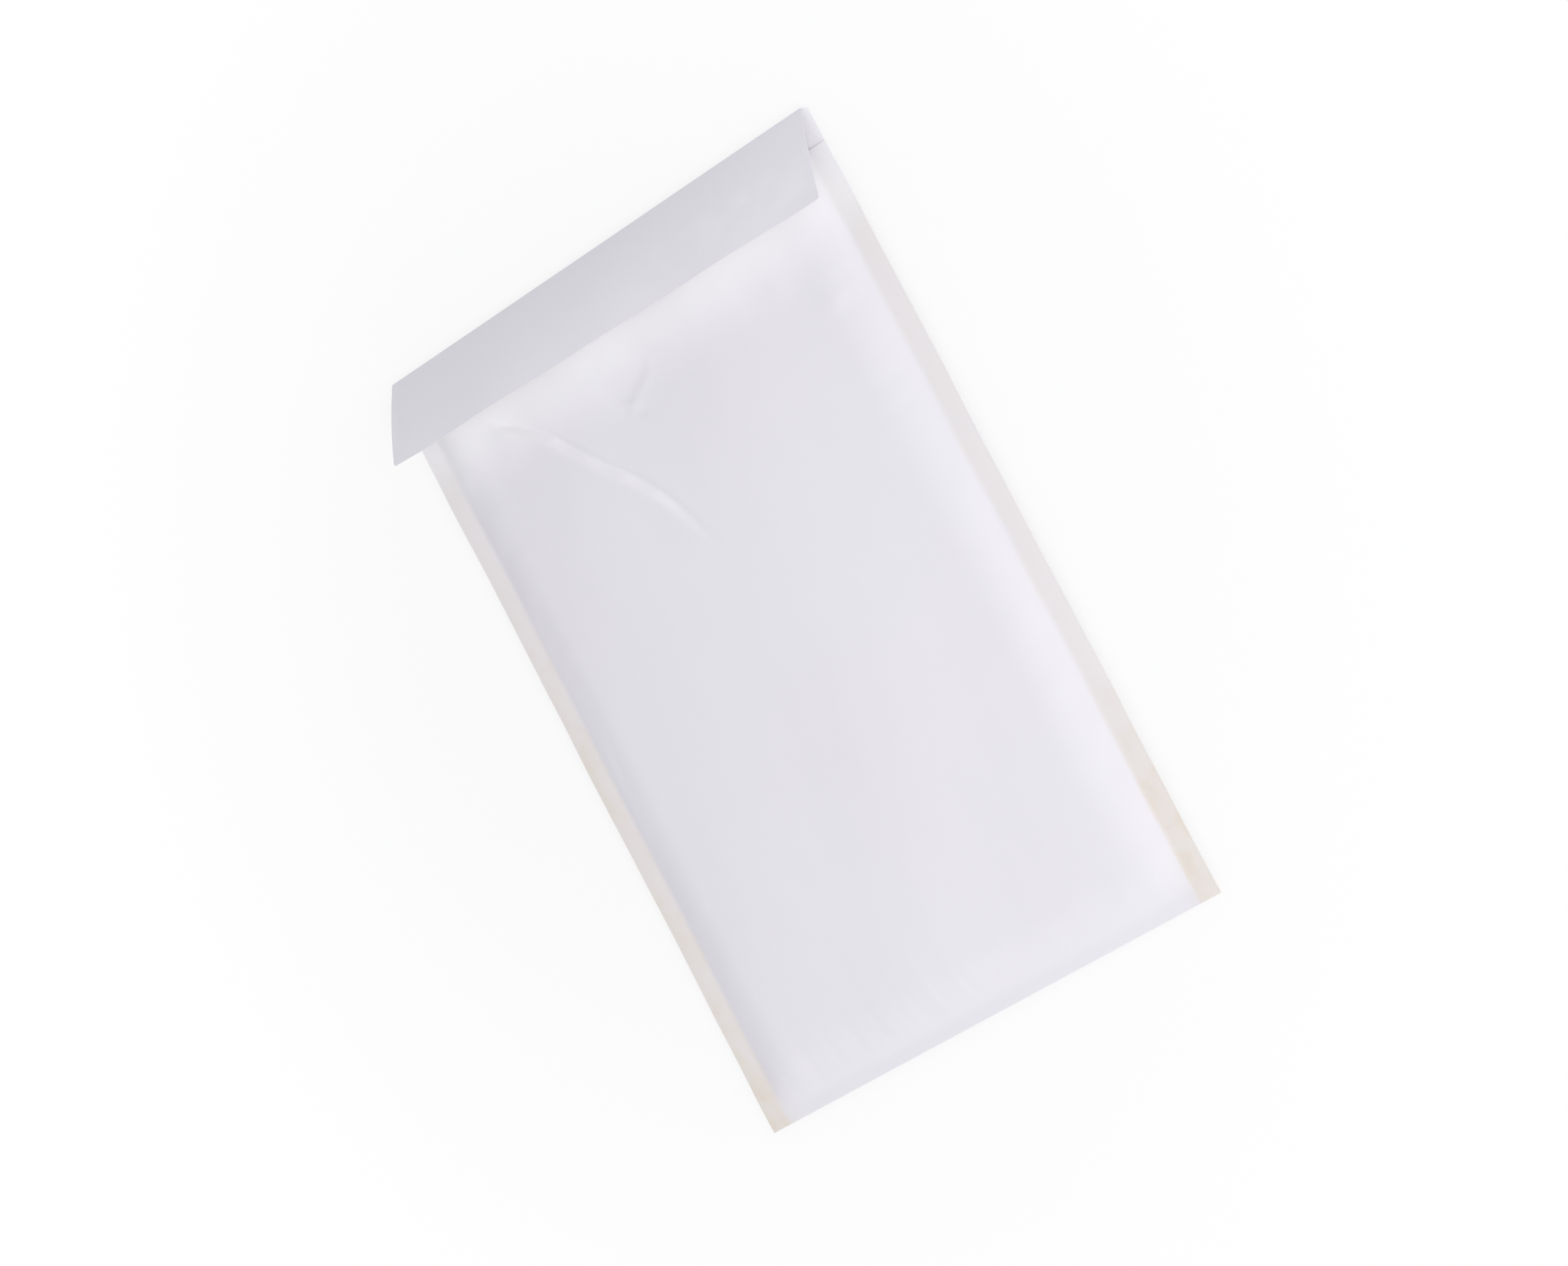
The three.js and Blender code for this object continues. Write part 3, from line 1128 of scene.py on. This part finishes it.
    def flap_marks(self, x: Array, distance: float) -> Array:
        """Say where the flap is mottled lighter: in a band over the adhesive under it, most towards the
        right, and along its left end.

        Args:
            x: Places across the flap.
            distance: Distance from the crease.

        Returns:
            The mottle's share, from 0 to 1, most towards the right.
        """
        band = smoothstep(distance, *self.mottle_start) * (1.0 - smoothstep(distance, *self.mottle_end))
        end = 1.0 - smoothstep(x + self.shape.flap_half, *self.mottle_margin)
        return np.clip(band * smoothstep(x, *self.mottle_across) + self.margin_share * end, 0.0, 1.0)

    def build(self) -> None:
        """Build and dress the sheet."""
        points, values = self.points()
        rows, columns = points.shape[:2]
        piece = new_piece("outer_paper_sheet", points.reshape(-1, 3), grid_faces(rows, columns), values)
        self.thicken(piece)
        settle(piece, WhitePaper().make(), ("front_panel", "back_panel_with_flap"))

    def thicken(self, piece: Piece) -> None:
        """Give the paper its thickness, half of it to either side, and crisp cut edges.

        Args:
            piece: The sheet, without thickness yet.
        """
        solidify = piece.modifiers.new("paper thickness", "SOLIDIFY")
        solidify.thickness = self.shape.paper
        solidify.offset = 0.0
        solidify.use_even_offset = False
        solidify.use_rim = True
        apply(piece, solidify)
        piece.data.set_sharp_from_angle(angle=math.radians(self.sharp_angle))


class Layer(Enum):
    """The two layers of bubble film."""

    BACK = "back"
    FRONT = "front"


@dataclass
class BubbleFilm:
    """A layer of bubble film on the inside of a panel, its bubbles towards the pocket."""

    shape: EnvelopeShape
    relief: PaperRelief
    layer: Layer
    sheet_thickness: float = 0.00015
    bubble_diameter: float = 0.0098
    pitch: float = 0.0112
    least_bubble: float = 0.0007
    margin: float = 0.001
    dense_band: float = 0.02
    corners: int = 12
    rings: int = 3
    rounding: float = 1.15
    fullness: float = 0.7
    sunk: float = 0.02

    def skins(self) -> tuple[Array, Array, Array]:
        """Lay the film's flat sheet against its paper.

        Returns:
            The sheet's lower and upper points, and the room that a bubble has there.
        """
        shape, band = self.shape, self.dense_band
        half, start, end = shape.film_half, shape.film_start, shape.film_end
        across = rows_between((-half, band - half, 9), (band - half, half - band, 48), (half - band, half, 9))
        along = rows_between((start, start + band, 9), (start + band, end - band, 70), (end - band, end, 10))
        x, y = np.meshgrid(across, along)
        offset = shape.half_paper + shape.layer_gap
        back = shape.back_height(x, y) + self.relief.back(x, y) + offset
        front = shape.front_height(x, y) + self.relief.front(x, y, pressed=True) - offset
        room = np.minimum(shape.film_thickness(x, y), (front - back) / 2) - self.sheet_thickness
        lower = back if self.layer is Layer.BACK else front - self.sheet_thickness
        upper = front if self.layer is Layer.FRONT else back + self.sheet_thickness
        return points_of(x, y, lower), points_of(x, y, upper), room

    def bubble_tree(self) -> bpy.types.NodeTree:
        """Build the nodes that blow a bubble at each place of a staggered grid.

        Returns:
            The geometry node tree, with its sizes as named inputs.
        """
        tree = bpy.data.node_groups.new("bubbles_" + self.layer.value, "GeometryNodeTree")
        sockets = {"Geometry": "Geometry", "Film": "Material"}
        names = ("Geometry", "Across", "Along", "Middle", "Pitch", "Diameter", "Least", "Side", "Film")
        for name in names:
            kind = "NodeSocket" + sockets.get(name, "Float")
            tree.interface.new_socket(name, in_out="INPUT", socket_type=kind)
        tree.interface.new_socket("Geometry", in_out="OUTPUT", socket_type="NodeSocketGeometry")
        graph = Graph(tree)
        given = graph.add("NodeGroupInput").outputs
        pitch, side = given["Pitch"], given["Side"]

        row_pitch = graph.times(pitch, math.sqrt(3) / 2)
        count_x = graph.math("FLOOR", graph.math("DIVIDE", given["Across"], pitch))
        count_y = graph.math("ADD", graph.math("FLOOR", graph.math("DIVIDE", given["Along"], row_pitch)), 1.0)
        size_x = graph.times(graph.math("SUBTRACT", count_x, 1.0), pitch)
        size_y = graph.times(graph.math("SUBTRACT", count_y, 1.0), row_pitch)
        sizes = {"Size X": size_x, "Size Y": size_y, "Vertices X": count_x, "Vertices Y": count_y}
        grid = graph.add("GeometryNodeMeshGrid", sizes).outputs["Mesh"]

        x, y, _ = graph.position()
        row = graph.math("ROUND", graph.math("DIVIDE", graph.math("ADD", y, size_y), row_pitch))
        odd = graph.math("SUBTRACT", graph.math("MODULO", row, 2.0), 0.5)
        shift = graph.times(odd, graph.math("DIVIDE", pitch, 2.0))
        staggered = graph.vector(graph.math("ADD", x, shift), graph.math("ADD", y, given["Middle"]), side)
        spots = graph.out("GeometryNodeSetPosition", {"Geometry": grid, "Position": staggered})

        hit, room = self.seat(graph, given)
        flat = graph.out("FunctionNodeCompare", {0: room, 1: given["Least"]}, operation="LESS_THAN")
        spots = graph.out("GeometryNodeDeleteGeometry", {"Geometry": spots, "Selection": flat})
        bubble = self.bubble(graph, given["Diameter"])
        laid = graph.out("GeometryNodeInstanceOnPoints", {"Points": spots, "Instance": bubble})
        laid = graph.out("GeometryNodeRealizeInstances", {"Geometry": laid})

        lift = graph.out("GeometryNodeInputNamedAttribute", {"Name": "lift"}, data_type="FLOAT")
        rise = graph.vector(z=graph.times(graph.times(lift, room), side))
        blown = graph.out("GeometryNodeSetPosition", {"Geometry": laid, "Position": hit, "Offset": rise})
        hanging = graph.out("FunctionNodeCompare", {0: side, 1: 0.0}, operation="LESS_THAN")
        solid = graph.out("GeometryNodeFlipFaces", {"Mesh": blown, "Selection": hanging})
        joined = graph.add("GeometryNodeJoinGeometry", {"Geometry": given["Geometry"]})
        tree.links.new(solid, joined.inputs[0])
        inputs = {"Geometry": joined.outputs[0], "Material": given["Film"]}
        graph.add("NodeGroupOutput", {0: graph.out("GeometryNodeSetMaterial", inputs)})
        return tree

    @staticmethod
    def seat(graph: Graph, given: bpy.types.bpy_prop_collection) -> tuple[Socket, Socket]:
        """Find the film's surface over or under a point, on the side of the bubbles.

        Args:
            graph: The tree's graph.
            given: The tree's inputs.

        Returns:
            The surface's place, and the room for a bubble there.
        """
        x, y, _ = graph.position()
        inputs = {
            "Target Geometry": given["Geometry"],
            "Attribute": graph.out("GeometryNodeInputNamedAttribute", {"Name": "room"}, data_type="FLOAT"),
            "Source Position": graph.vector(x, y, given["Side"]),
            "Ray Direction": graph.vector(z=graph.times(given["Side"], -1.0)),
            "Ray Length": 10.0,
        }
        ray = graph.add("GeometryNodeRaycast", inputs, data_type="FLOAT").outputs
        return ray["Hit Position"], ray["Attribute"]

    def bubble(self, graph: Graph, diameter: Socket) -> Socket:
        """Build one closed bubble, laid flat, that stores how high each point of it is to lift.

        Args:
            graph: The tree's graph.
            diameter: The bubble's diameter.

        Returns:
            The bubble's geometry.
        """
        radius = graph.math("DIVIDE", diameter, 2.0)
        sizes = {"Vertices": self.corners, "Side Segments": self.rings, "Radius": radius, "Depth": 1.0}
        drum = graph.out("GeometryNodeMeshCylinder", sizes, fill_type="NGON")
        x, y, z = graph.position()
        turned = graph.times(graph.math("ADD", z, 0.5), self.rounding)
        wide = graph.math("POWER", graph.math("COSINE", turned), self.fullness)
        top = (1.0 + self.sunk) / math.sin(self.rounding)
        high = graph.math("MULTIPLY_ADD", graph.math("SINE", turned), top, -self.sunk)
        store = {"Geometry": drum, "Name": "lift", "Value": high}
        drum = graph.out("GeometryNodeStoreNamedAttribute", store, data_type="FLOAT")
        point = graph.vector(graph.times(x, wide), graph.times(y, wide))
        shaped = graph.out("GeometryNodeSetPosition", {"Geometry": drum, "Position": point})
        return graph.out("GeometryNodeSetShadeSmooth", {"Geometry": shaped})

    def build(self, film: Material) -> None:
        """Build and dress the layer.

        Args:
            film: The film's material.
        """
        shape = self.shape
        lower, upper, room = self.skins()
        base = slab("film_sheet", lower, upper, {"room": room})
        tree = self.bubble_tree()
        blow = base.modifiers.new("bubbles", "NODES")
        blow.node_group = tree
        sizes = {
            "Across": 2 * (shape.film_half - self.margin),
            "Along": shape.film_end - shape.film_start - self.bubble_diameter - self.margin,
            "Middle": (shape.film_end + shape.film_start) / 2,
            "Pitch": self.pitch,
            "Diameter": self.bubble_diameter,
            "Least": self.least_bubble,
            "Side": 1.0 if self.layer is Layer.BACK else -1.0,
            "Film": film,
        }
        for item in tree.interface.items_tree:
            if item.in_out == "INPUT" and item.name in sizes:
                blow[item.identifier] = sizes[item.name]
        apply(base, blow)
        base.name = "bubble_wrap_" + self.layer.value
        settle(base, film, ("bubble_film_" + self.layer.value,))


class End(Enum):
    """The envelope's two sides."""

    LEFT = -1
    RIGHT = 1


@dataclass
class SeamGlue:
    """A line of glue pressed out between the front and back paper along one side."""

    shape: EnvelopeShape
    relief: PaperRelief
    end: End
    margin: float = 0.001
    waver: float = 0.0007
    inner_trim: float = 0.6
    outer_trim: float = 0.8
    rows: int = 210
    columns: int = 13
    edge_gap: float = 0.0002
    run_out: Span = (-0.0008, 0.0015)
    rim: float = 0.08
    body: float = 0.88

    def build(self, glue: Material) -> None:
        """Build and dress the line.

        Args:
            glue: The glue's material.
        """
        shape, sign = self.shape, self.end.value
        along = np.linspace(shape.fold_start + self.margin, shape.lip - self.margin, self.rows)
        share = np.linspace(-1.0, 1.0, self.columns)[None, :]
        middle = sign * (shape.half - shape.seam_width / 2)
        half = shape.seam_width / 2 - self.margin
        inner = half + self.waver * (Waves(0.021, 91 + sign).along(along) - self.inner_trim)
        outer = half + self.waver * (Waves(0.026, 95 + sign).along(along) - self.outer_trim)
        reach = np.where(share * sign > 0, outer[:, None], inner[:, None])
        x = middle + share * np.clip(reach, 0.0, shape.seam_width / 2 - self.edge_gap)
        y = np.broadcast_to(along[:, None], x.shape)
        level = shape.seam_height + shape.paper + shape.glue / 2 + self.relief.seam(x, y)
        ends = smoothstep(np.minimum(y - along[0], along[-1] - y), *self.run_out)
        bulge = np.sqrt(np.clip(1.0 - share**4, 0.0, 1.0)) * ends
        thick = shape.glue / 2 * (self.rim + self.body * bulge)
        side = self.end.name.lower()
        piece = slab("glue_line_" + side, points_of(x, y, level - thick), points_of(x, y, level + thick))
        settle(piece, glue, ("seam_glue_" + side,))


@dataclass
class FlapSeal:
    """The adhesive on the inside of the flap and the release strip that covers it."""

    shape: EnvelopeShape
    relief: PaperRelief
    adhesive_thickness: float = 0.0002
    adhesive_width: float = 0.015
    adhesive_inset: float = 0.005
    adhesive_end_gap: float = 0.005
    release_thickness: float = 0.0002
    release_overhang: float = 0.002
    release_end_gap: float = 0.002
    rows: int = 13
    columns: int = 150
    edge_share: float = 0.35
    edge_width: float = 0.0006

    def strip(self, name: str, near: float, far: float, half: float, depth: float, thick: float) -> Piece:
        """Lay a strip along the flap's inner side.

        Args:
            name: The strip's name.
            near: Its edge towards the crease, as a distance from it.
            far: Its edge towards the flap's free edge.
            half: Half of its length across the envelope.
            depth: Room between it and the paper.
            thick: Its thickness.

        Returns:
            The closed strip.
        """
        shape = self.shape
        x, distance = np.meshgrid(np.linspace(-half, half, self.columns), np.linspace(near, far, self.rows))
        y, z, heading = shape.flap_point(x, distance)
        lift = self.relief.seam(x, shape.crease_start)
        bend = self.relief.flap(x, distance) + shape.half_paper + depth
        edge = np.minimum(np.minimum(distance - near, far - distance), half - np.abs(x))
        full = thick * lerp(self.edge_share, 1.0, smoothstep(edge, 0.0, self.edge_width))
        skins = (
            points_of(x, y - offset * np.sin(heading), z + lift + offset * np.cos(heading))
            for offset in (bend, bend + full)
        )
        return slab(name, *skins)

    def build(self) -> None:
        """Build and dress both strips."""
        shape, over = self.shape, self.release_overhang
        far = shape.flap_length - self.adhesive_inset
        near = far - self.adhesive_width
        half, gap, thick = shape.flap_half - self.adhesive_end_gap, shape.layer_gap, self.adhesive_thickness
        adhesive = self.strip("tacky_strip", near, far, half, gap, thick)
        settle(adhesive, TackyAdhesive().make(), ("seal_adhesive",))
        half, depth = shape.flap_half - self.release_end_gap, 2 * gap + thick
        cover = self.strip("release_cover", near - over, far + over, half, depth, self.release_thickness)
        settle(cover, ReleasePaper().make(), ("release_strip",))


# Studio


@dataclass(frozen=True)
class Lamp:
    """A soft rectangular lamp that looks at the envelope."""

    name: str
    direction: Triple
    distance: float
    size: float
    power: float
    colour: Triple = (1.0, 1.0, 1.0)

    def place(self, target: Vector) -> None:
        """Hang the lamp.

        Args:
            target: The point that it looks at.
        """
        light = bpy.data.lights.new(self.name, "AREA")
        light.shape = "SQUARE"
        light.size = self.size
        light.energy = self.power
        light.color = self.colour
        hung = bpy.data.objects.new(self.name, light)
        way = Vector(self.direction).normalized()
        hung.location = target + way * self.distance
        hung.rotation_euler = way.to_track_quat("Z", "Y").to_euler()
        bpy.context.scene.collection.objects.link(hung)


@dataclass(frozen=True)
class Studio:
    """A plain pale floor under soft light, and the camera."""

    target: Triple = (0.0, 0.0, 0.008)
    camera_right: Triple = (0.6939, -0.4598, -0.5538)
    camera_up: Triple = (0.4217, 0.8832, -0.2048)
    camera_distance: float = 2.42
    lens: float = 138.0
    sensor_width: float = 36.0
    floor_half: float = 6.0
    floor_light: tuple[float, ...] = (0.93, 0.93, 0.935, 1.0)
    floor_dark: tuple[float, ...] = (0.92, 0.92, 0.925, 1.0)
    floor_whitens: tuple[float, ...] = (0.1, 0.42, 0.74, 1.0)
    world_strength: float = 0.70
    world_colour: tuple[float, ...] = (0.962, 0.966, 1.0, 1.0)
    backdrop: tuple[float, ...] = (0.97, 0.97, 0.975, 1.0)
    lamps: tuple[Lamp, ...] = (
        Lamp("key_softbox", (0.68, -0.26, 0.69), 1.4, 0.8, 7.2, (1.0, 0.998, 0.992)),
        Lamp("foot_softbox", (-0.05, -0.88, 0.47), 0.9, 0.5, 0.55, (1.0, 0.975, 0.94)),
    )

    def build(self) -> None:
        """Build the floor, the lights and the camera."""
        self.lay_floor()
        self.light_world()
        for lamp in self.lamps:
            lamp.place(Vector(self.target))
        self.set_camera()

    def lay_floor(self) -> None:
        """Lay the floor, white at every distance and keeping the envelope's shadow."""
        corners = np.array([[-1, -1, 0], [1, -1, 0], [1, 1, 0], [-1, 1, 0]]) * self.floor_half
        floor = new_piece("studio_floor", corners, np.array([[0, 1, 2, 3]]))
        material, graph, place = new_material("studio_floor")
        grain = Cloud(6.0, 3.0, 0.5).grow(graph, place)
        colour = graph.mix(grain, self.floor_light, self.floor_dark)
        matte = graph.out("ShaderNodeBsdfDiffuse", {"Color": colour})
        white = graph.out("ShaderNodeEmission", {"Color": (1.0, 1.0, 1.0, 1.0), "Strength": 1.0})
        away = graph.add("ShaderNodeVectorMath", {0: place}, operation="LENGTH").outputs["Value"]
        whiter = graph.times(graph.ramp(away, *self.floor_whitens), self.seen_directly(graph))
        surface = graph.out("ShaderNodeMixShader", {0: whiter, 1: matte, 2: white})
        graph.add("ShaderNodeOutputMaterial", {"Surface": surface})
        floor.data.materials.append(material)

    def light_world(self) -> None:
        """Fill the shadows softly, and show a white background to the camera."""
        world = bpy.data.worlds.new("studio_world")
        world.use_nodes = True
        bpy.context.scene.world = world
        graph = Graph(world.node_tree)
        light = {"Color": self.world_colour, "Strength": self.world_strength}
        fill = graph.out("ShaderNodeBackground", light)
        seen = graph.out("ShaderNodeBackground", {"Color": self.backdrop, "Strength": 1.0})
        surface = graph.out("ShaderNodeMixShader", {0: self.seen_directly(graph), 1: fill, 2: seen})
        graph.add("ShaderNodeOutputWorld", {"Surface": surface})

    @staticmethod
    def seen_directly(graph: Graph) -> Socket:
        """Tell what the camera sees from what lights the scene.

        Args:
            graph: The graph to add it to.

        Returns:
            1 for what the camera sees, by itself or in a reflection, and 0 for the rest.
        """
        path = graph.add("ShaderNodeLightPath").outputs
        direct = graph.math("MAXIMUM", path["Is Camera Ray"], path["Is Glossy Ray"])
        return graph.math("MAXIMUM", direct, path["Is Transmission Ray"])

    def set_camera(self) -> None:
        """Set the camera where the envelope stands on its lower left corner in the picture."""
        lens = bpy.data.cameras.new("studio_camera")
        lens.lens = self.lens
        lens.sensor_width = self.sensor_width
        camera = bpy.data.objects.new("studio_camera", lens)
        right = Vector(self.camera_right).normalized()
        up = Vector(self.camera_up)
        up = (up - right * up.dot(right)).normalized()
        back = right.cross(up)
        turn = Matrix((right, up, back)).transposed().to_4x4()
        camera.matrix_world = Matrix.Translation(Vector(self.target) + back * self.camera_distance) @ turn
        bpy.context.scene.collection.objects.link(camera)
        bpy.context.scene.camera = camera


def main() -> None:
    """Build the envelope and its studio."""
    logging.basicConfig(level=logging.INFO, format="%(name)s: %(message)s")
    bpy.context.scene.view_settings.view_transform = "Standard"
    shape = EnvelopeShape()
    relief = PaperRelief(shape)
    OuterSheet(shape, relief).build()
    film = ClearFilm().make()
    for layer in Layer:
        BubbleFilm(shape, relief, layer).build(film)
    glue = DriedGlue().make()
    for end in End:
        SeamGlue(shape, relief, end).build(glue)
    FlapSeal(shape, relief).build()
    Studio().build()
    bpy.context.view_layer.update()


if __name__ == "__main__":
    main()
